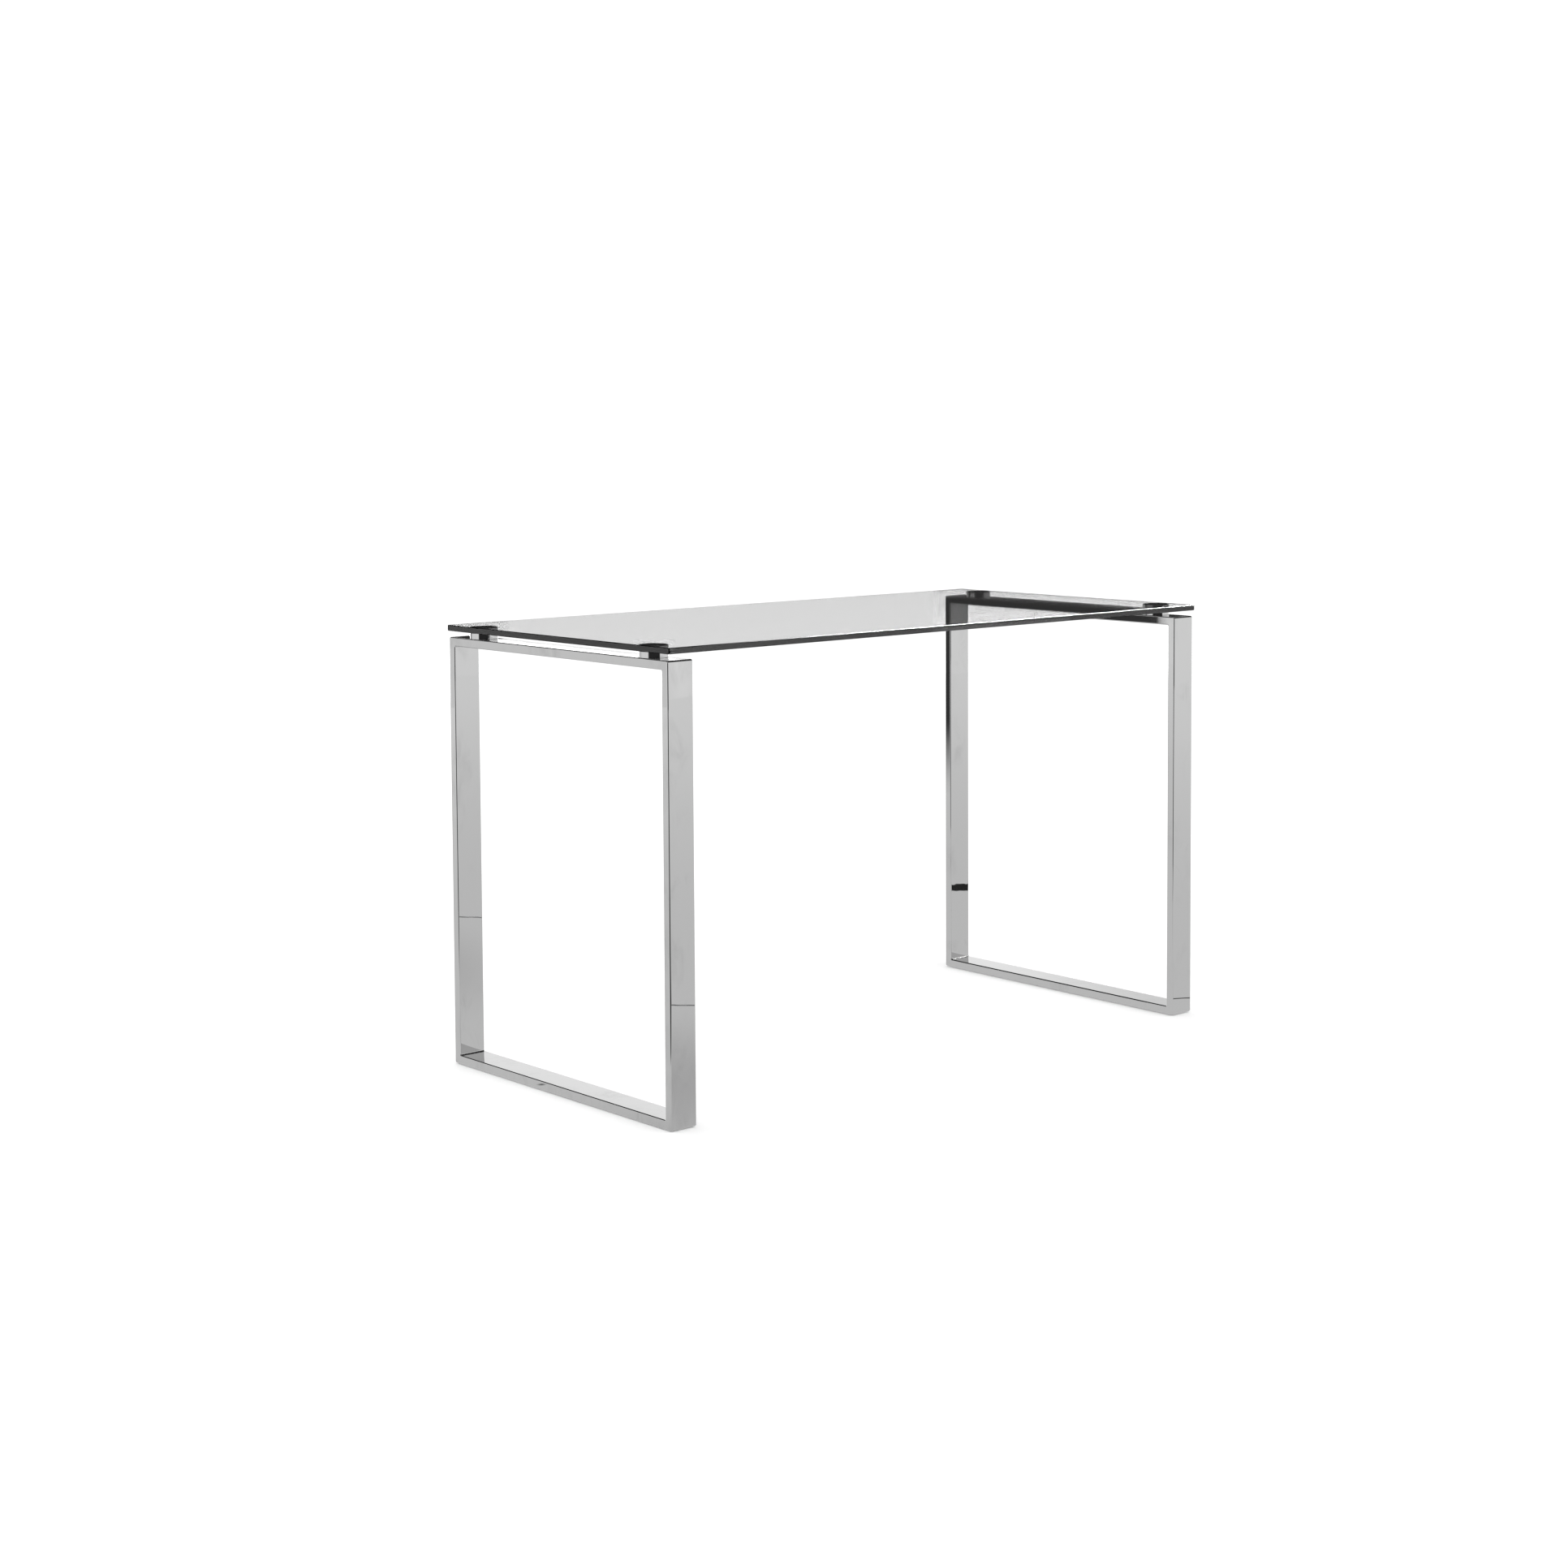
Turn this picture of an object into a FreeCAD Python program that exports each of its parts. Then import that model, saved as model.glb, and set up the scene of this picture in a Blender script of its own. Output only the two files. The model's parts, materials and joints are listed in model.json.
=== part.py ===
import FreeCAD, Part
import math
import os

V = FreeCAD.Vector

# Glass-topped table on two closed loops of flat metal tube, in millimetres.
# +X runs along the length, -Y is the front, +Z is up, and the origin is at floor level
# under the middle of the table.

# Whole table
TABLE_LENGTH = 1220.0
TABLE_DEPTH = 600.0
TABLE_HEIGHT = 750.0

# Glass sheet
GLASS_THICKNESS = 10.0
GLASS_CORNER_RADIUS = 3.0
GLASS_ARRIS = 1.0

# The glass stands proud of the loops by this much at the ends, and at the front and back
END_OVERHANG = 1.0
SIDE_OVERHANG = 5.0

# Flat tube of the loops: its wide side lies along X
TUBE_WIDTH = 50.0
TUBE_THICKNESS = 15.0
TUBE_WALL = 1.5
TUBE_EDGE_RADIUS = 2.0
LOOP_CORNER_RADIUS = 3.5
LOOP_INNER_CORNER_RADIUS = 2.0

# Pucks between the loops and the glass
PUCK_DIAMETER = 48.0
PUCK_HEIGHT = 10.0
PUCK_EDGE_CHAMFER = 0.4
PUCK_FROM_LOOP_END = 66.0
PUCK_HOLE_DEPTH = 8.0
PUCK_DRILL_POINT = 1.0
BOND_DIAMETER = 46.0
BOND_THICKNESS = 0.2

# M6 button-head screw and washer that hold each puck to its rail
SCREW_DIAMETER = 6.0
SCREW_LENGTH = 10.0
SCREW_HEAD_DIAMETER = 10.5
SCREW_HEAD_HEIGHT = 3.3
SCREW_HEAD_ROUNDING = 2.0
SCREW_SOCKET_FLATS = 4.0
SCREW_SOCKET_DEPTH = 2.0
WASHER_DIAMETER = 12.0
WASHER_HOLE_DIAMETER = 6.4
WASHER_THICKNESS = 1.6
THREAD_CLEARANCE = 0.1
SCREW_HOLE_DIAMETER = 6.6

# Push-in plug that closes the hole through which each screw is driven
ACCESS_HOLE_DIAMETER = 16.0
PLUG_HEAD_DIAMETER = 20.0
PLUG_HEAD_THICKNESS = 1.2
PLUG_STEM_DEPTH = 5.0
PLUG_WALL = 1.2

# Push-in floor glide
GLIDE_HEAD_DIAMETER = 22.0
GLIDE_HEAD_THICKNESS = 1.5
GLIDE_HEAD_ROUNDING = 0.8
GLIDE_STEM_DIAMETER = 10.0
GLIDE_STEM_DEPTH = 6.0
GLIDE_FROM_LOOP_END = 45.0

# Play between a push-in stem and its hole, all round
PUSH_FIT_PLAY = 0.1

# How far a cutting shape reaches past what it cuts
CUT_SPARE = 2.0

# When two places count as the same, and the cosine from which two directions do
SAME_PLACE = 0.001
SAME_DIRECTION = 0.999

HEXAGON_SIDES = 6

# Places worked out from the driving dimensions
LOOP_DEPTH = TABLE_DEPTH - 2 * SIDE_OVERHANG
LOOP_BOTTOM = GLIDE_HEAD_THICKNESS
GLASS_BOTTOM = TABLE_HEIGHT - GLASS_THICKNESS
PUCK_TOP = GLASS_BOTTOM - BOND_THICKNESS
LOOP_TOP = PUCK_TOP - PUCK_HEIGHT
LOOP_HEIGHT = LOOP_TOP - LOOP_BOTTOM
LOOP_CENTRE_X = TABLE_LENGTH / 2 - END_OVERHANG - TUBE_WIDTH / 2
PUCK_Y = LOOP_DEPTH / 2 - PUCK_FROM_LOOP_END
GLIDE_Y = LOOP_DEPTH / 2 - GLIDE_FROM_LOOP_END

SIDES = {"left": -1, "right": 1}
ENDS = {"front": -1, "back": 1}


def disc(diameter, height, x, y, bottom):
    """An upright cylinder standing on the height bottom."""
    return Part.makeCylinder(diameter / 2, height, V(x, y, bottom))


def centred_box(width, depth, height, centre_x, bottom):
    """A box centred on Y = 0 and on centre_x."""
    return Part.makeBox(width, depth, height, V(centre_x - width / 2, -depth / 2, bottom))


def edges_along(shape, direction):
    """The straight edges of a shape that run along a direction."""
    found = []
    for edge in shape.Edges:
        if len(edge.Vertexes) == 2:
            run = edge.Vertexes[1].Point.sub(edge.Vertexes[0].Point)
            if abs(run.normalize().dot(direction)) > SAME_DIRECTION:
                found.append(edge)
    return found


def edges_around(shape, face_x):
    """The edges of a shape that lie in the plane X = face_x."""
    return [e for e in shape.Edges if all(abs(v.X - face_x) < SAME_PLACE for v in e.Vertexes)]


def glass_top():
    """One sheet with eased corners and a ground arris round both faces."""
    sheet = centred_box(TABLE_LENGTH, TABLE_DEPTH, GLASS_THICKNESS, 0, GLASS_BOTTOM)
    sheet = sheet.makeFillet(GLASS_CORNER_RADIUS, edges_along(sheet, V(0, 0, 1)))
    rims = [e for e in sheet.Edges if abs(e.Vertexes[0].Z - e.Vertexes[-1].Z) < SAME_PLACE]
    return sheet.makeChamfer(GLASS_ARRIS, rims)


def loop_skin(centre_x):
    """The outside of a leg loop as a solid ring, its rim edges rounded."""
    outside = centred_box(TUBE_WIDTH, LOOP_DEPTH, LOOP_HEIGHT, centre_x, LOOP_BOTTOM)
    outside = outside.makeFillet(LOOP_CORNER_RADIUS, edges_along(outside, V(1, 0, 0)))
    window = centred_box(
        TUBE_WIDTH,
        LOOP_DEPTH - 2 * TUBE_THICKNESS,
        LOOP_HEIGHT - 2 * TUBE_THICKNESS,
        centre_x,
        LOOP_BOTTOM + TUBE_THICKNESS,
    )
    window = window.makeFillet(LOOP_INNER_CORNER_RADIUS, edges_along(window, V(1, 0, 0)))
    ring = outside.cut(window)
    half = TUBE_WIDTH / 2
    rims = edges_around(ring, centre_x - half) + edges_around(ring, centre_x + half)
    return ring.makeFillet(TUBE_EDGE_RADIUS, rims)


def loop_bore(centre_x):
    """The space inside the tube of a leg loop."""
    width = TUBE_WIDTH - 2 * TUBE_WALL
    bore_thickness = TUBE_THICKNESS - 2 * TUBE_WALL
    depth = LOOP_DEPTH - 2 * TUBE_WALL
    height = LOOP_HEIGHT - 2 * TUBE_WALL
    bottom = LOOP_BOTTOM + TUBE_WALL
    outside = centred_box(width, depth, height, centre_x, bottom)
    window = centred_box(
        width,
        depth - 2 * bore_thickness,
        height - 2 * bore_thickness,
        centre_x,
        bottom + bore_thickness,
    )
    return outside.cut(window)


def mitre_wedge(centre_x, at, upright):
    """The block that holds one tube of a loop, cut at 45 degrees at both ends.

    It covers the tube at the end (upright) or at the level (rail) that at names: -1 for the
    front or the bottom, 1 for the back or the top. Both ends reach past the loop's corners.
    """
    spare = TUBE_THICKNESS
    half_depth = LOOP_DEPTH / 2 + spare
    half_height = LOOP_HEIGHT / 2 + spare
    reach = TUBE_THICKNESS + 2 * spare
    middle = LOOP_BOTTOM + LOOP_HEIGHT / 2
    if upright:
        corners = [
            (at * half_depth, -half_height),
            (at * half_depth, half_height),
            (at * (half_depth - reach), half_height - reach),
            (at * (half_depth - reach), reach - half_height),
        ]
    else:
        corners = [
            (-half_depth, at * half_height),
            (half_depth, at * half_height),
            (half_depth - reach, at * (half_height - reach)),
            (reach - half_depth, at * (half_height - reach)),
        ]
    near_x = centre_x - TUBE_WIDTH
    points = [V(near_x, y, middle + z) for y, z in corners]
    outline = Part.makePolygon(points + points[:1])
    return Part.Face(outline).extrude(V(2 * TUBE_WIDTH, 0, 0))


def puck_holes(centre_x):
    """The screw hole and the wider access hole below it, for each puck of a loop."""
    holes = []
    for end in ENDS.values():
        y = end * PUCK_Y
        bottom = LOOP_TOP - TUBE_THICKNESS / 2
        holes.append(disc(SCREW_HOLE_DIAMETER, TUBE_THICKNESS, centre_x, y, bottom))
        holes.append(disc(ACCESS_HOLE_DIAMETER, TUBE_THICKNESS, centre_x, y, bottom - TUBE_THICKNESS))
    return holes


def glide_holes(centre_x):
    """The holes for the glides in the lower wall of a bottom rail."""
    bottom = LOOP_BOTTOM - CUT_SPARE
    height = TUBE_WALL + 2 * CUT_SPARE
    return [
        disc(GLIDE_STEM_DIAMETER, height, centre_x, end * GLIDE_Y, bottom)
        for end in ENDS.values()
    ]


def loop_tubes(centre_x):
    """The four mitred tubes of a leg loop, by name."""
    loop = loop_skin(centre_x).cut(loop_bore(centre_x))
    top_rail = loop.common(mitre_wedge(centre_x, 1, upright=False))
    bottom_rail = loop.common(mitre_wedge(centre_x, -1, upright=False))
    return {
        "top_rail": top_rail.cut(puck_holes(centre_x)),
        "bottom_rail": bottom_rail.cut(glide_holes(centre_x)),
        "front_upright": loop.common(mitre_wedge(centre_x, -1, upright=True)),
        "back_upright": loop.common(mitre_wedge(centre_x, 1, upright=True)),
    }


def puck(x, y):
    """A solid puck with a blind tapped hole in its underside."""
    body = disc(PUCK_DIAMETER, PUCK_HEIGHT, x, y, LOOP_TOP)
    rims = [e for e in body.Edges if e.Closed]
    body = body.makeChamfer(PUCK_EDGE_CHAMFER, rims)
    radius = (SCREW_DIAMETER + THREAD_CLEARANCE) / 2
    hole = Part.makeCylinder(radius, PUCK_HOLE_DEPTH, V(x, y, LOOP_TOP))
    point = Part.makeCone(radius, 0, PUCK_DRILL_POINT, V(x, y, LOOP_TOP + PUCK_HOLE_DEPTH))
    return body.cut([hole, point])


def bond(x, y):
    """The clear adhesive film between a puck and the glass."""
    return disc(BOND_DIAMETER, BOND_THICKNESS, x, y, PUCK_TOP)


def washer(x, y):
    """A flat washer against the inside of the rail's top wall."""
    bottom = LOOP_TOP - TUBE_WALL - WASHER_THICKNESS
    ring = disc(WASHER_DIAMETER, WASHER_THICKNESS, x, y, bottom)
    return ring.cut(disc(WASHER_HOLE_DIAMETER, WASHER_THICKNESS, x, y, bottom))


def hexagon(flats, depth, x, y, bottom):
    """A hexagonal prism, given the distance across its flats."""
    corner_radius = flats / math.sqrt(3)
    corners = []
    for number in range(HEXAGON_SIDES):
        angle = number * 2 * math.pi / HEXAGON_SIDES
        spoke = V(corner_radius * math.cos(angle), corner_radius * math.sin(angle), 0)
        corners.append(V(x, y, bottom).add(spoke))
    outline = Part.makePolygon(corners + corners[:1])
    return Part.Face(outline).extrude(V(0, 0, depth))


def screw(x, y):
    """A button-head screw, its head down in the rail and its shank up in the puck."""
    head_top = LOOP_TOP - TUBE_WALL - WASHER_THICKNESS
    head_bottom = head_top - SCREW_HEAD_HEIGHT
    head = disc(SCREW_HEAD_DIAMETER, SCREW_HEAD_HEIGHT, x, y, head_bottom)
    head_middle = head_top - SCREW_HEAD_HEIGHT / 2
    lower_rim = [e for e in head.Edges if e.Closed and e.Vertexes[0].Z < head_middle]
    head = head.makeFillet(SCREW_HEAD_ROUNDING, lower_rim)
    shank = disc(SCREW_DIAMETER, SCREW_LENGTH, x, y, head_top)
    socket = hexagon(SCREW_SOCKET_FLATS, SCREW_SOCKET_DEPTH, x, y, head_bottom)
    return head.fuse(shank).removeSplitter().cut(socket)


def access_plug(x, y):
    """A hollow push-in plug, its head against the underside of the top rail."""
    rail_bottom = LOOP_TOP - TUBE_THICKNESS
    head = disc(PLUG_HEAD_DIAMETER, PLUG_HEAD_THICKNESS, x, y, rail_bottom - PLUG_HEAD_THICKNESS)
    lower_rim = [
        e for e in head.Edges if e.Closed and e.Vertexes[0].Z < rail_bottom - PLUG_HEAD_THICKNESS / 2
    ]
    head = head.makeFillet(PLUG_HEAD_THICKNESS / 2, lower_rim)
    stem_diameter = ACCESS_HOLE_DIAMETER - 2 * PUSH_FIT_PLAY
    stem = disc(stem_diameter, PLUG_STEM_DEPTH, x, y, rail_bottom)
    hollow = disc(stem_diameter - 2 * PLUG_WALL, PLUG_STEM_DEPTH, x, y, rail_bottom)
    return head.fuse(stem.cut(hollow)).removeSplitter()


def glide(x, y):
    """A floor glide: a low head below the bottom rail on a stem pushed up into it."""
    head = disc(GLIDE_HEAD_DIAMETER, GLIDE_HEAD_THICKNESS, x, y, 0)
    lower_rim = [e for e in head.Edges if e.Closed and e.Vertexes[0].Z < GLIDE_HEAD_THICKNESS / 2]
    head = head.makeFillet(GLIDE_HEAD_ROUNDING, lower_rim)
    stem_diameter = GLIDE_STEM_DIAMETER - 2 * PUSH_FIT_PLAY
    stem = disc(stem_diameter, GLIDE_STEM_DEPTH, x, y, GLIDE_HEAD_THICKNESS)
    return head.fuse(stem).removeSplitter()


def all_nodes():
    """Every node of the table, by name."""
    nodes = {"glass_top": glass_top()}
    screws = []
    washers = []
    for side, sign in SIDES.items():
        x = sign * LOOP_CENTRE_X
        for name, tube in loop_tubes(x).items():
            nodes[f"{side}_{name}"] = tube
        for end, way in ENDS.items():
            place = f"{side}_{end}"
            nodes[f"puck_{place}"] = puck(x, way * PUCK_Y)
            nodes[f"bond_{place}"] = bond(x, way * PUCK_Y)
            nodes[f"access_plug_{place}"] = access_plug(x, way * PUCK_Y)
            nodes[f"glide_{place}"] = glide(x, way * GLIDE_Y)
            screws.append(screw(x, way * PUCK_Y))
            washers.append(washer(x, way * PUCK_Y))
    nodes["puck_screws"] = Part.makeCompound(screws)
    nodes["puck_washers"] = Part.makeCompound(washers)
    return nodes


def report_size(name, shape):
    """Prints what a node measures, and whether it is sound."""
    box = shape.BoundBox
    print(
        f"{name:28s} solids {len(shape.Solids)} valid {shape.isValid()} volume {shape.Volume:11.1f}"
        f" box {box.XLength:7.1f} x {box.YLength:6.1f} x {box.ZLength:6.1f}"
    )


os.makedirs("parts", exist_ok=True)
for node_name, node_shape in all_nodes().items():
    report_size(node_name, node_shape)
    node_shape.exportStep(f"parts/{node_name}.step")
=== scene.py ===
import json
import math

import bmesh
import bpy
from mathutils import Matrix, Vector


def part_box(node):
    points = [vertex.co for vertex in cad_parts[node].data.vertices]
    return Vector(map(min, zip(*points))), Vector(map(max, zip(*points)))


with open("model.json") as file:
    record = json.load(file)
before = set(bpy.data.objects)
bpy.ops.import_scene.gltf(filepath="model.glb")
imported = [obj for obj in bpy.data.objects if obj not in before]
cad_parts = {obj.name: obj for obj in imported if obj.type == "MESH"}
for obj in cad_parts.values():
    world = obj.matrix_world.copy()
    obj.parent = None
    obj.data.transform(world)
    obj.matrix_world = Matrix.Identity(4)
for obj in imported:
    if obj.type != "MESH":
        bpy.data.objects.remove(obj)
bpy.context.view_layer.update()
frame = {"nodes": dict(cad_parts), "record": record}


# ---------------------------------------------------------------- camera
#
# The place is in metres and the lens in millimetres. The heading is clockwise from +Y.

CAMERA_PLACE = Vector((-3.152, -3.495, 1.124))
CAMERA_HEADING = math.radians(40.97)
CAMERA_PITCH = math.radians(-4.01)
CAMERA_ROLL = math.radians(-0.33)
CAMERA_LENS = 61.9
CAMERA_SHIFT_Y = -0.124

# ---------------------------------------------------------------- studio
#
# Brightness is 1 for paper white. A heading is in degrees clockwise from +Y, seen from above,
# and a slope is a direction's rise over its run along the floor. Where a pair is named SLOPES or
# HEADINGS, the light changes between the two, or lies between them. SOFT is the width of a fade.
# LEAST_RUN keeps the slope of straight up from being endless.

EYE_WHITE = 1.1
ROOM_LIGHT = 1.35
PAPER_TONE = 0.9
UNLIT_TONE = 0.03
LEAST_RUN = 0.001

# Walls, darker low down, with a narrow lamp on the right and a greyer wall on the left
WALL_SLOPES = (-0.14, -0.07)
WALL_LOW_TONE = 0.97
WALL_TONE = 1.03
LAMP_HEADINGS = (139.5, 142.5)
LAMP_SLOPES = (-0.13, -0.09)
LAMP_SOFT = 3.0
LAMP_TONE = 1.12
LEFT_WALL_HEADINGS = (-44.5, -12.0)
LEFT_WALL_SOFT = 5.0
LEFT_WALL_TONE = 0.88

# Bright backdrop behind the table, brighter to the right, with an unlit gap above it
BACKDROP_HEADINGS = (-12.0, 62.0)
BACKDROP_SOFT = 6.0
BACKDROP_TONE = 3.35
BACKDROP_TONE_RIGHT = 3.75
BACKDROP_RIGHT_HEADINGS = (40.0, 43.5)
GAP_SLOPES = (0.03, 0.15)
GAP_SOFT = 0.03

# Where the glass has nothing dark behind it, what it mirrors and what it lets through are nearly
# the same: that gives the same grey with far less noise. The left loop's front puck is left out.
CALM_HEADINGS = (35.1, 44.15)
CALM_SOFT = 0.3
CALM_STEEPNESSES = (0.1484, 0.1500)
CALM_BACKDROP_TONE = 1.20
CALM_GAP_TONE = 0.62
PUCK_HEADINGS = (37.75, 38.60)
PUCK_SOFT = 0.2
PUCK_SLOPES = (0.0878, 0.0888)

# Unlit side of the room, where the camera stands
DARK_SIDE_LEFT_END = -104.0
DARK_WALL_RIGHT_END = 168.0
DARK_FLOOR_RIGHT_END = 190.0
DARK_SIDE_SOFT = 8.0
DARK_WALL_SLOPES = (0.10, 0.22)
DARK_FLOOR_DISTANCES = (1.06, 1.18)

# Upper walls, dark ceiling and the lit part of it overhead
UPPER_SLOPES = (0.14, 0.19)
UPPER_TONE = 0.78
UPPER_BACK_TONE = 1.08
UPPER_RIGHT_TONE = 0.84
UPPER_RIGHT_HEADINGS = (45.0, 49.5)
CEILING_SLOPES = (0.32, 0.48)
CEILING_TONE = 0.03
OVERHEAD_SLOPES = (2.0, 3.0)
OVERHEAD_TONE = 0.70

# Strong strip lamp high on the right, seen in the bevel of the glass's front edge. It leans:
# its heading is that of its foot, plus the lean times the slope.
STRIP_FOOT_HEADINGS = (89.2, 91.2)
STRIP_FOOT_SOFT = 0.8
STRIP_LEAN = 6.54
STRIP_SLOPES = (0.75, 1.12)
STRIP_SLOPE_SOFT = 0.2
STRIP_TONE = 28.0

# Floor, as the mirror finish sees it: a painted reflection, where the floor glows with painted
# light and shade. Distances are in metres from the table's middle
FLOOR_RADIUS = 6.0
FLOOR_SIDES = 128
# Painted shade: the floor's tone is darker near the table and lightens outwards
FLOOR_NEAR = 0.8
FLOOR_SHADED_TONE_NEAR = 0.80
FLOOR_TONE_FAR = 0.98
# The first spot is a painted shadow of the table on the floor in front of it; the second is a small
# dark speck
FLOOR_SHADOW_AND_SPECK = [
    {"centre": (-0.42, -0.52), "radius": 0.62, "tone": 0.62},
    {"centre": (-0.634, 0.080), "radius": 0.010, "tone": 0.15},
]

# Edge of the paper sheet on the floor: a thin wavy line across one heading, with a painted shadow
# band beyond it on the right. Both are only in the floor's painted reflection
SHEET_EDGE_HEADING = 141.0
SHEET_EDGE_DISTANCES = (0.729, 0.737)
SHEET_EDGE_SOFT = 0.004
SHEET_EDGE_END_X = (0.85, 0.90)
SHEET_EDGE_TONE = 0.10
SHEET_WAVE_CELLS = 18.0
SHEET_WAVE = 0.016
SHADOW_BAND_DISTANCES = (1.000, 1.082)
SHADOW_BAND_SOFT = 0.006
SHADOW_BAND_START_X = (1.05, 1.10)
SHADOW_BAND_WAVE_CELLS = 22.0
SHADOW_BAND_WAVE = 0.06

# Black card that stands behind the left end, which only the mirror finish sees: it glows as a
# painted dark reflection with painted light at its foot. Its face is the plane X = CARD_X
CARD_X = -1.10
CARD_FROM_Y = 1.185
CARD_TO_Y = 2.30
CARD_HEIGHT = 1.30
CARD_TONE = 0.05
CARD_FOOT_PAINTED_LIGHT = 0.80
CARD_FOOT_HEIGHT = 0.22

# ---------------------------------------------------------------- finishes
#
# A pair of tones or roughnesses is for the clean surface and for a mark on it. Crowns, waves,
# ripples and grains are heights in metres. Absorption is per metre of depth. The patches and the
# streaks of wiping marks begin at the first noise value of their pair and are full at the second.

PATCH_ENDS = (0.42, 0.72)
STREAK_ENDS = (0.35, 0.75)
POLISHED_TONES = (0.58, 0.50)
TUBE_ROUGHNESSES = (0.015, 0.09)
TUBE_CROWN = 0.00020
TUBE_WAVE = 0.00012
TUBE_RIPPLE = 0.000012
PUCK_ROUGHNESSES = (0.012, 0.06)
PUCK_WAVE = 0.00001
ZINC_TONES = (0.62, 0.45)
ZINC_ROUGHNESSES = (0.25, 0.45)
ZINC_GRAIN = 0.00002
PLASTIC_GRAIN = 0.00004
PLASTIC_ROUGHNESS_SPREAD = 0.15
PLASTIC_TONE_SPREAD = 0.1
GREY_PLASTIC = {"tone": 0.12, "worn_tone": 0.20, "roughness": 0.45}
FLOOR_GLIDE = {"tone": 0.45, "worn_tone": 0.60, "roughness": 0.40}
CLEAR_GLASS = {"absorption": 6.2, "ior": 1.52, "haze": 0.01}
CLEAR_ADHESIVE = {"absorption": 1.0, "ior": 1.50, "haze": 0.05}


# ---------------------------------------------------------------- node helpers

def node_adder(tree):
    """Returns a function that adds one node to a tree, sets its inputs and links what is a socket.

    An input is named as in Blender, with __ for a space, or by its number after one _.
    """
    def add(kind, settings=None, **inputs):
        node = tree.nodes.new(kind)
        for name, value in (settings or {}).items():
            setattr(node, name, value)
        for name, value in inputs.items():
            key = int(name[1:]) if name[0] == "_" else name.replace("__", " ")
            if isinstance(value, bpy.types.NodeSocket):
                tree.links.new(value, node.inputs[key])
            else:
                node.inputs[key].default_value = value
        return node
    return add


class Sums:
    """Short arithmetic on the sockets of one node tree."""

    def __init__(self, tree):
        self.add = node_adder(tree)

    def math(self, operation, a, b=0.0):
        return self.add("ShaderNodeMath", {"operation": operation}, _0=a, _1=b).outputs[0]

    def plus(self, a, b):
        return self.math("ADD", a, b)

    def times(self, a, b):
        return self.math("MULTIPLY", a, b)

    def distance(self, a, b):
        """The length of the arrow whose two parts are a and b."""
        return self.math("SQRT", self.plus(self.times(a, a), self.times(b, b)))

    def heading(self, x, y):
        """Degrees clockwise from +Y, from -180 to 180."""
        return self.math("DEGREES", self.math("ARCTAN2", x, y))

    def ramp(self, value, ends, to_low=0.0, to_high=1.0):
        """Goes smoothly from to_low to to_high as value goes from one end to the other."""
        node = self.add(
            "ShaderNodeMapRange",
            {"interpolation_type": "SMOOTHSTEP"},
            Value=value,
            From__Min=ends[0],
            From__Max=ends[1],
            To__Min=to_low,
            To__Max=to_high,
        )
        return node.outputs["Result"]

    def band(self, value, ends, soft):
        """One between the two ends, and nought outside, with soft ends."""
        low, high = ends
        rise = self.ramp(value, (low - soft / 2, low + soft / 2))
        fall = self.ramp(value, (high - soft / 2, high + soft / 2), 1.0, 0.0)
        return self.times(rise, fall)

    def blend(self, share, a, b):
        """a where share is nought and b where it is one."""
        node = self.add("ShaderNodeMix", {"data_type": "FLOAT"}, _0=share, _2=a, _3=b)
        return node.outputs[0]

    def grey(self, value):
        """A neutral colour of that brightness."""
        return self.add("ShaderNodeCombineColor", _0=value, _1=value, _2=value).outputs[0]

    def place(self):
        """The three coordinates of the point that is shaded, in metres."""
        point = self.add("ShaderNodeTexCoord").outputs["Object"]
        return self.add("ShaderNodeSeparateXYZ", Vector=point).outputs

    def noise(self, scale, detail, stretch=(1.0, 1.0, 1.0), distortion=0.0, point=None):
        """Smooth noise from nought to one, with scale cells to the unit of point.

        A stretch under one draws the cells out along that axis. Without a point it is in metres.
        """
        if point is None:
            point = self.add("ShaderNodeTexCoord").outputs["Object"]
        moved = self.add("ShaderNodeMapping", Vector=point, Scale=stretch).outputs[0]
        node = self.add(
            "ShaderNodeTexNoise", Vector=moved, Scale=scale, Detail=detail, Distortion=distortion
        )
        return node.outputs["Fac"]


# ---------------------------------------------------------------- studio

def dark_side(s, heading, right_end):
    """One for the unlit side of the room, which runs from its right end round to its left end."""
    turned = s.math("MODULO", s.plus(heading, 360.0), 360.0)
    return s.band(turned, (right_end, 360.0 + DARK_SIDE_LEFT_END), DARK_SIDE_SOFT)


def sky_direction(s):
    """The heading and the slope of the direction in which the studio is seen."""
    direction = s.add("ShaderNodeTexCoord").outputs["Generated"]
    x, y, z = s.add("ShaderNodeSeparateXYZ", Vector=direction).outputs
    slope = s.math("DIVIDE", z, s.math("MAXIMUM", s.distance(x, y), LEAST_RUN))
    return s.heading(x, y), slope


def strip_lamp(s, heading, slope):
    """The light of the strong strip lamp."""
    foot = s.plus(heading, s.times(slope, -STRIP_LEAN))
    across = s.band(foot, STRIP_FOOT_HEADINGS, STRIP_FOOT_SOFT)
    along = s.band(slope, STRIP_SLOPES, STRIP_SLOPE_SOFT)
    return s.times(s.times(across, along), STRIP_TONE)


def calm_glass(s, heading, slope):
    """One for the directions in which the glass shows nothing but the backdrop.

    Steepness is rise over run along +X. It parts the glass from the top of the left rail. The
    front puck of the left loop is seen through the glass, so its directions are left out.
    """
    level = s.math("ABSOLUTE", slope)
    steepness = s.math("DIVIDE", level, s.math("SINE", s.math("RADIANS", heading)))
    inside = s.band(heading, CALM_HEADINGS, CALM_SOFT)
    calm = s.times(inside, s.ramp(steepness, CALM_STEEPNESSES, 1.0, 0.0))
    puck = s.times(s.band(heading, PUCK_HEADINGS, PUCK_SOFT), s.ramp(level, PUCK_SLOPES))
    return s.times(calm, s.plus(1.0, s.times(puck, -1.0)))


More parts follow.
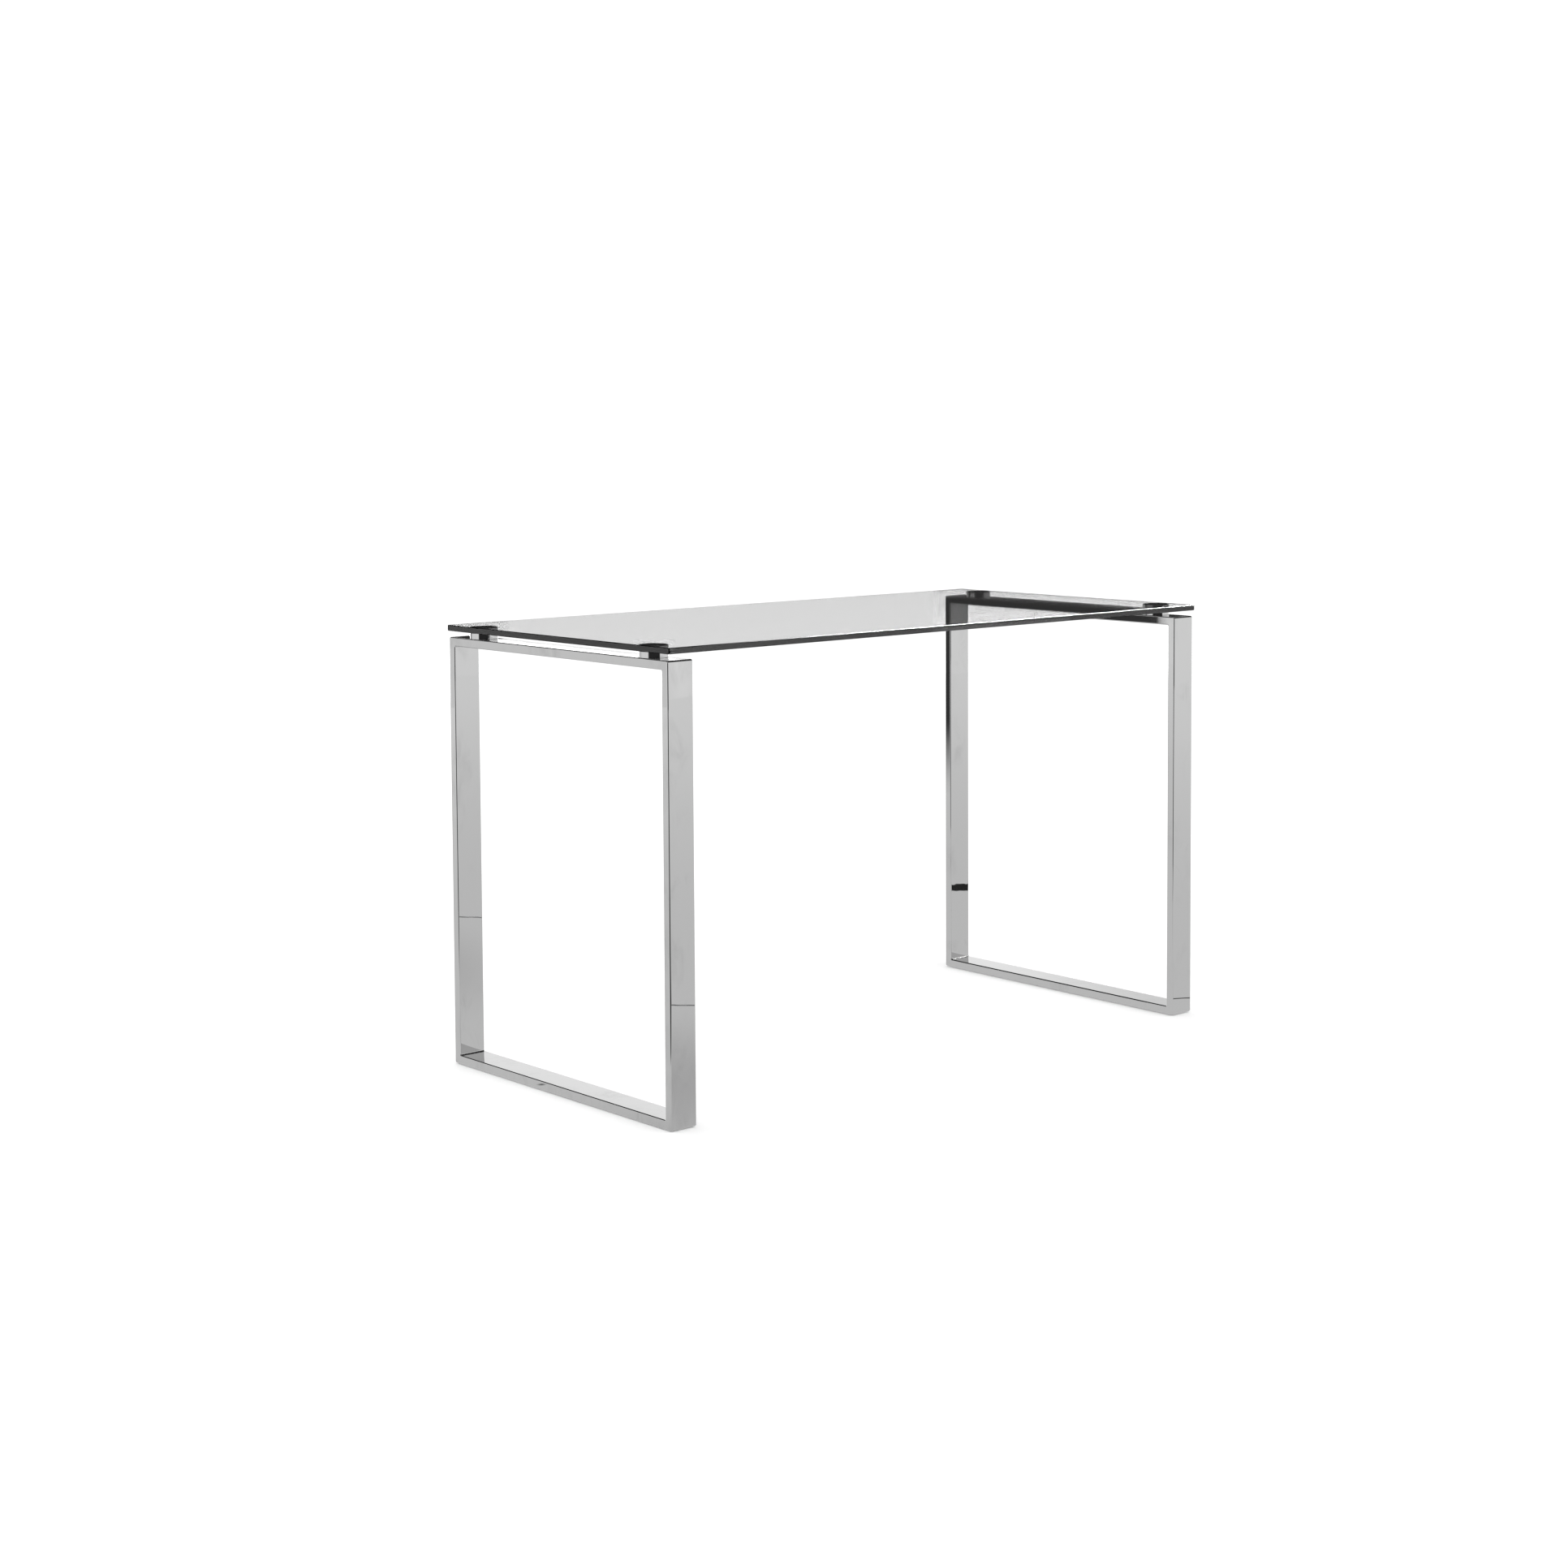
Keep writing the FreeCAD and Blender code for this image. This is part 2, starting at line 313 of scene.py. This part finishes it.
def lit_walls(s, heading, slope):
    """The light of the walls, with the lamp and the greyer left wall."""
    light = s.ramp(slope, WALL_SLOPES, WALL_LOW_TONE, WALL_TONE)
    lamp = s.times(s.band(heading, LAMP_HEADINGS, LAMP_SOFT), s.ramp(slope, LAMP_SLOPES))
    light = s.blend(lamp, light, LAMP_TONE)
    return s.blend(s.band(heading, LEFT_WALL_HEADINGS, LEFT_WALL_SOFT), light, LEFT_WALL_TONE)


def studio_light(s, heading, slope):
    """The light that the studio sends to the table from each direction, without the strip lamp."""
    backdrop = s.band(heading, BACKDROP_HEADINGS, BACKDROP_SOFT)
    calm = calm_glass(s, heading, slope)
    full_tone = s.ramp(heading, BACKDROP_RIGHT_HEADINGS, BACKDROP_TONE, BACKDROP_TONE_RIGHT)
    backdrop_tone = s.blend(calm, full_tone, CALM_BACKDROP_TONE)
    light = s.blend(backdrop, lit_walls(s, heading, slope), backdrop_tone)

    unlit = dark_side(s, heading, DARK_WALL_RIGHT_END)
    light = s.blend(s.times(unlit, s.ramp(slope, DARK_WALL_SLOPES, 1.0, 0.0)), light, UNLIT_TONE)
    gap = s.times(backdrop, s.band(slope, GAP_SLOPES, GAP_SOFT))
    light = s.blend(gap, light, s.blend(calm, UNLIT_TONE, CALM_GAP_TONE))

    upper_back = s.ramp(heading, UPPER_RIGHT_HEADINGS, UPPER_BACK_TONE, UPPER_RIGHT_TONE)
    light = s.blend(s.ramp(slope, UPPER_SLOPES), light, s.blend(backdrop, UPPER_TONE, upper_back))
    light = s.blend(s.ramp(slope, CEILING_SLOPES), light, CEILING_TONE)
    return s.blend(s.ramp(slope, OVERHEAD_SLOPES), light, OVERHEAD_TONE)


def make_studio():
    """A white room for the eye, even light on what is matt, and lit walls for what mirrors them."""
    world = bpy.data.worlds.new("studio")
    bpy.context.scene.world = world
    world.use_nodes = True
    tree = world.node_tree
    tree.nodes.clear()
    s = Sums(tree)
    path = s.add("ShaderNodeLightPath")
    matt = s.math("MINIMUM", path.outputs["Diffuse Depth"], 1.0)
    heading, slope = sky_direction(s)
    strip = s.times(path.outputs["Is Glossy Ray"], strip_lamp(s, heading, slope))
    light = s.blend(matt, s.plus(studio_light(s, heading, slope), strip), ROOM_LIGHT)
    light = s.blend(path.outputs["Is Camera Ray"], light, EYE_WHITE)
    background = s.add("ShaderNodeBackground", Color=(1.0, 1.0, 1.0, 1.0), Strength=light)
    s.add("ShaderNodeOutputWorld", Surface=background.outputs[0])


def spot(s, x, y, centre, radius):
    """One at the middle of a soft round spot on the floor, and nought from its radius out."""
    away = s.distance(s.plus(x, -centre[0]), s.plus(y, -centre[1]))
    return s.ramp(away, (0.0, radius), 1.0, 0.0)


def painted_floor_reflection(s):
    """Painted reflection of the floor, glowing for the mirror finish: a pale sheet with painted
    shade near the table, a painted shadow, a speck, the sheet's edge, a painted shadow band and
    painted unlit floor on the camera's side.
    """
    x, y, _ = s.place()
    away = s.distance(x, y)
    # Painted shade: darker near the table
    tone = s.ramp(away, (FLOOR_NEAR, FLOOR_RADIUS), FLOOR_SHADED_TONE_NEAR, FLOOR_TONE_FAR)
    # Painted shadow of the table, and a small dark speck
    for mark in FLOOR_SHADOW_AND_SPECK:
        tone = s.blend(spot(s, x, y, mark["centre"], mark["radius"]), tone, mark["tone"])

    angle = math.radians(SHEET_EDGE_HEADING)
    out = s.plus(s.times(x, math.sin(angle)), s.times(y, math.cos(angle)))
    wavy = s.plus(out, s.times(s.noise(SHEET_WAVE_CELLS, detail=1.0), SHEET_WAVE))
    edge = s.band(wavy, SHEET_EDGE_DISTANCES, SHEET_EDGE_SOFT)
    edge = s.times(edge, s.ramp(x, SHEET_EDGE_END_X, 1.0, 0.0))
    tone = s.blend(edge, tone, SHEET_EDGE_TONE)

    # Painted shadow band, beyond the sheet's edge on the right
    ragged = s.plus(out, s.times(s.noise(SHADOW_BAND_WAVE_CELLS, detail=2.0), SHADOW_BAND_WAVE))
    shadow_band = s.times(s.band(ragged, SHADOW_BAND_DISTANCES, SHADOW_BAND_SOFT), s.ramp(x, SHADOW_BAND_START_X))
    tone = s.blend(shadow_band, tone, UNLIT_TONE)

    # Painted shade: the floor on the camera's side is painted unlit
    unlit = dark_side(s, s.heading(x, y), DARK_FLOOR_RIGHT_END)
    return s.blend(s.times(unlit, s.ramp(away, DARK_FLOOR_DISTANCES)), tone, UNLIT_TONE)


def painted_dark_card_material():
    """Glows nearly black in reflections as a painted dark reflection, paler at its foot with
    painted light.
    """
    material, s = new_material("black_card")
    _, _, z = s.place()
    tone = s.ramp(z, (0.0, CARD_FOOT_HEIGHT), CARD_FOOT_PAINTED_LIGHT, CARD_TONE)
    light = s.add("ShaderNodeEmission", Strength=tone)
    s.add("ShaderNodeOutputMaterial", Surface=light.outputs[0])
    return material


def floor_material():
    """Pale paper to the eye, and in reflections a glowing painted reflection of the lit sheet."""
    material, s = new_material("studio_floor")
    paper = s.add("ShaderNodeBsdfDiffuse", Color=(PAPER_TONE, PAPER_TONE, PAPER_TONE, 1.0))
    # Painted reflection: the floor glows for mirror rays with its painted light and shade
    glow = s.add("ShaderNodeEmission", Strength=painted_floor_reflection(s))
    path = s.add("ShaderNodeLightPath")
    mirrored = path.outputs["Is Glossy Ray"]
    mix = s.add("ShaderNodeMixShader", _0=mirrored, _1=paper.outputs[0], _2=glow.outputs[0])
    s.add("ShaderNodeOutputMaterial", Surface=mix.outputs[0])
    return material


def stage_object(name, bm, material):
    """Links a finished bmesh as part of the set."""
    mesh = bpy.data.meshes.new(name)
    bm.to_mesh(mesh)
    bm.free()
    mesh.materials.append(material)
    obj = bpy.data.objects.new(name, mesh)
    bpy.context.scene.collection.objects.link(obj)
    return obj


def make_floor():
    """A wide round sheet of pale paper at floor level."""
    bm = bmesh.new()
    bmesh.ops.create_circle(bm, cap_ends=True, segments=FLOOR_SIDES, radius=FLOOR_RADIUS)
    stage_object("floor", bm, floor_material())


def make_card():
    """The black card, which only the mirror finish sees: a glowing painted dark reflection."""
    bm = bmesh.new()
    outline = [
        (CARD_FROM_Y, 0.0),
        (CARD_TO_Y, 0.0),
        (CARD_TO_Y, CARD_HEIGHT),
        (CARD_FROM_Y, CARD_HEIGHT),
    ]
    bm.faces.new([bm.verts.new((CARD_X, y, z)) for y, z in outline])
    card = stage_object("black_card", bm, painted_dark_card_material())
    card.visible_camera = False
    card.visible_diffuse = False
    card.visible_transmission = False
    card.visible_shadow = False


def make_camera():
    """A long lens at a standing person's height, off the front left corner."""
    data = bpy.data.cameras.new("camera")
    data.lens = CAMERA_LENS
    data.shift_y = CAMERA_SHIFT_Y
    camera = bpy.data.objects.new("camera", data)
    bpy.context.scene.collection.objects.link(camera)
    camera.matrix_world = (
        Matrix.Translation(CAMERA_PLACE)
        @ Matrix.Rotation(-CAMERA_HEADING, 4, "Z")
        @ Matrix.Rotation(math.pi / 2 + CAMERA_PITCH, 4, "X")
        @ Matrix.Rotation(CAMERA_ROLL, 4, "Z")
    )
    bpy.context.scene.camera = camera


# ---------------------------------------------------------------- shared surface effects

def new_group(name, inputs, output):
    """An empty node group with number inputs and one number output, and its node sums."""
    group = bpy.data.node_groups.new(name, "ShaderNodeTree")
    for label, value in inputs.items():
        socket = group.interface.new_socket(
            name=label, in_out="INPUT", socket_type="NodeSocketFloat"
        )
        socket.default_value = value
    group.interface.new_socket(name=output, in_out="OUTPUT", socket_type="NodeSocketFloat")
    s = Sums(group)
    given = s.add("NodeGroupInput").outputs
    return group, s, given


def wiping_marks_group():
    """Mask: cloudy smears that a cloth leaves on a polished surface, stronger in some patches."""
    group, s, given = new_group("wiping_marks", {"Scale": 1.0, "Amount": 1.0}, "Mask")
    point = s.add("ShaderNodeTexCoord").outputs["Object"]
    sized = s.add(
        "ShaderNodeVectorMath", {"operation": "SCALE"}, Vector=point, Scale=given["Scale"]
    ).outputs[0]
    cloud = s.noise(scale=7.0, detail=3.0, distortion=1.2, point=sized)
    smear = s.noise(scale=40.0, detail=3.0, stretch=(1.0, 1.0, 0.5), distortion=1.0, point=sized)
    patches = s.ramp(cloud, PATCH_ENDS)
    streaks = s.ramp(smear, STREAK_ENDS)
    s.add("NodeGroupOutput", Mask=s.times(s.times(patches, streaks), given["Amount"]))
    return group


def rolled_tube_group(centre, half_width):
    """Height in metres: the slight crown across a flat tube's wide faces, its waves and ripples."""
    group, s, given = new_group("rolled_tube", {"Crown": 0.0, "Wave": 0.0, "Ripple": 0.0}, "Height")
    x, _, _ = s.place()
    across = s.times(s.plus(s.math("ABSOLUTE", x), -centre), 1.0 / half_width)
    crown = s.times(s.plus(1.0, s.times(s.times(across, across), -1.0)), given["Crown"])
    waves = s.times(s.noise(scale=9.0, detail=1.0, stretch=(1.6, 1.0, 1.0)), given["Wave"])
    ripples = s.times(s.noise(scale=26.0, detail=0.0), given["Ripple"])
    s.add("NodeGroupOutput", Height=s.plus(crown, s.plus(waves, ripples)))
    return group


def moulded_grain_group():
    """Mask: the fine even texture of a moulded or plated surface, with a slow drift in it."""
    group, s, given = new_group("moulded_grain", {"Scale": 900.0, "Drift": 0.5}, "Mask")
    fine = s.noise(given["Scale"], detail=2.0)
    slow = s.noise(scale=60.0, detail=2.0)
    s.add("NodeGroupOutput", Mask=s.blend(given["Drift"], fine, slow))
    return group


# ---------------------------------------------------------------- materials

def new_material(name):
    """An empty material and its node sums."""
    material = bpy.data.materials.new(name)
    material.use_nodes = True
    material.node_tree.nodes.clear()
    return material, Sums(material.node_tree)


def use_group(s, group, **values):
    """The output of a shared effect, with this material's own values."""
    node = s.add("ShaderNodeGroup", {"node_tree": group})
    for name, value in values.items():
        node.inputs[name].default_value = value
    return node.outputs[0]


def bump(s, height):
    """The normal of a surface that is raised by height, in metres."""
    return s.add("ShaderNodeBump", Height=height, Distance=1.0).outputs[0]


def metal(s, marks, tones, roughnesses, height):
    """Gives a bare metal, whose marks take its tone and roughness from the first to the second."""
    skin = s.add(
        "ShaderNodeBsdfPrincipled",
        Metallic=1.0,
        Base__Color=s.grey(s.blend(marks, tones[0], tones[1])),
        Roughness=s.blend(marks, roughnesses[0], roughnesses[1]),
        Normal=bump(s, height),
    )
    s.add("ShaderNodeOutputMaterial", Surface=skin.outputs[0])


def polished_tube(groups):
    """Mirror-polished flat tube, slightly crowned and wavy, with wiping marks."""
    material, s = new_material("polished_tube")
    marks = use_group(s, groups["marks"], Scale=1.0, Amount=0.8)
    height = use_group(s, groups["tube"], Crown=TUBE_CROWN, Wave=TUBE_WAVE, Ripple=TUBE_RIPPLE)
    metal(s, marks, POLISHED_TONES, TUBE_ROUGHNESSES, height)
    return material


def polished_puck(groups):
    """Turned and mirror-polished, with finer wiping marks."""
    material, s = new_material("polished_puck")
    marks = use_group(s, groups["marks"], Scale=2.5, Amount=0.5)
    height = s.times(s.noise(scale=40.0, detail=1.0), PUCK_WAVE)
    metal(s, marks, POLISHED_TONES, PUCK_ROUGHNESSES, height)
    return material


def zinc_screw(groups):
    """Dull zinc plating with a fine grain."""
    material, s = new_material("zinc_screw")
    grain = use_group(s, groups["grain"], Scale=700.0, Drift=0.4)
    metal(s, grain, ZINC_TONES, ZINC_ROUGHNESSES, s.times(grain, ZINC_GRAIN))
    return material


def clear_body(name, groups, absorption, ior, haze):
    """Clear glass or resin that greys with depth, with faint wiping marks on its faces."""
    material, s = new_material(name)
    marks = use_group(s, groups["marks"], Scale=0.8, Amount=1.0)
    body = s.add(
        "ShaderNodeBsdfPrincipled",
        Base__Color=(1.0, 1.0, 1.0, 1.0),
        Roughness=s.times(marks, haze),
        IOR=ior,
        Transmission__Weight=1.0,
    )
    depth = s.add("ShaderNodeVolumeAbsorption", Color=(0.0, 0.0, 0.0, 1.0), Density=absorption)
    s.add("ShaderNodeOutputMaterial", Surface=body.outputs[0], Volume=depth.outputs[0])
    return material


def moulded_plastic(name, groups, tone, worn_tone, roughness):
    """Matt moulded plastic with a fine grain, paler where it has been handled."""
    material, s = new_material(name)
    grain = use_group(s, groups["grain"], Scale=1200.0, Drift=0.5)
    marks = use_group(s, groups["marks"], Scale=6.0, Amount=0.7)
    darker = tone * (1.0 - PLASTIC_TONE_SPREAD)
    paler = tone * (1.0 + PLASTIC_TONE_SPREAD)
    clean_tone = s.blend(grain, darker, paler)
    body = s.add(
        "ShaderNodeBsdfPrincipled",
        Base__Color=s.grey(s.blend(marks, clean_tone, worn_tone)),
        Roughness=s.blend(grain, roughness, roughness + PLASTIC_ROUGHNESS_SPREAD),
        Normal=bump(s, s.times(grain, PLASTIC_GRAIN)),
    )
    s.add("ShaderNodeOutputMaterial", Surface=body.outputs[0])
    return material


def make_finishes():
    """Every material of the record, by its slot."""
    low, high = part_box("right_front_upright")
    groups = {
        "marks": wiping_marks_group(),
        "tube": rolled_tube_group((low.x + high.x) / 2, (high.x - low.x) / 2),
        "grain": moulded_grain_group(),
    }
    return {
        "clear_glass": clear_body("clear_glass", groups, **CLEAR_GLASS),
        "clear_adhesive": clear_body("clear_adhesive", groups, **CLEAR_ADHESIVE),
        "polished_tube": polished_tube(groups),
        "polished_puck": polished_puck(groups),
        "zinc_screw": zinc_screw(groups),
        "grey_plastic": moulded_plastic("grey_plastic", groups, **GREY_PLASTIC),
        "floor_glide": moulded_plastic("floor_glide", groups, **FLOOR_GLIDE),
    }


def dress(finishes):
    """Puts each node's finish on it, as the record says."""
    for part in frame["record"]["subparts"]:
        for slot in frame["nodes"][part["node"]].material_slots:
            slot.material = finishes[part["material_slot"]]


# ---------------------------------------------------------------- the scene

make_camera()
make_studio()
make_floor()
make_card()
dress(make_finishes())

scene = bpy.context.scene
scene.view_settings.view_transform = "Standard"
scene.view_settings.look = "None"
scene.cycles.max_bounces = 32
scene.cycles.glossy_bounces = 16
scene.cycles.transmission_bounces = 32
